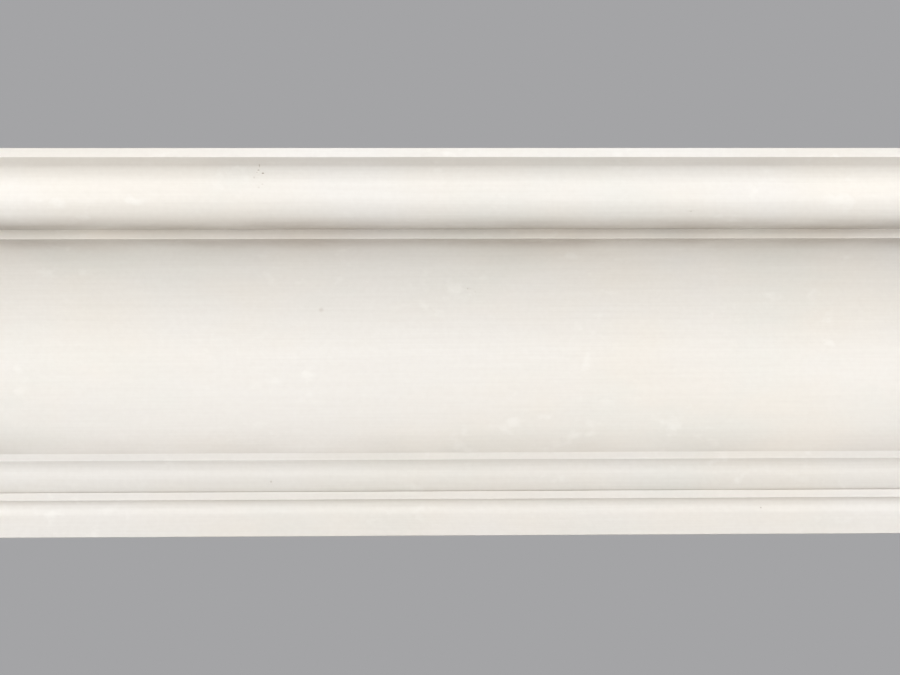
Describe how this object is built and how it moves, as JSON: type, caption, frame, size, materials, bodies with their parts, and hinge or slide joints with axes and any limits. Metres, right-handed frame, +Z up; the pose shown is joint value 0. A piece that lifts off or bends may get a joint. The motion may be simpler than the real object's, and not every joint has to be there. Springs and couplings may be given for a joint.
{
  "type": "crown moulding",
  "caption": "Straight run of white crown moulding with a big roll, a wide cove and small fillets, cut square at both ends to fit between wall and ceiling.",
  "frame": {"origin": "centre of the flat back face that lies against the wall", "axes": "X along the moulding, +Y out of its back into the wall, +Z up to the ceiling"},
  "size_m": [0.386, 0.1164, 0.1108],
  "materials": {
    "painted_plaster": "warm white paint over cast gypsum plaster"
  },
  "bodies": {
    "root": {"crown_moulding_length": "painted_plaster"}
  },
  "joints": []
}
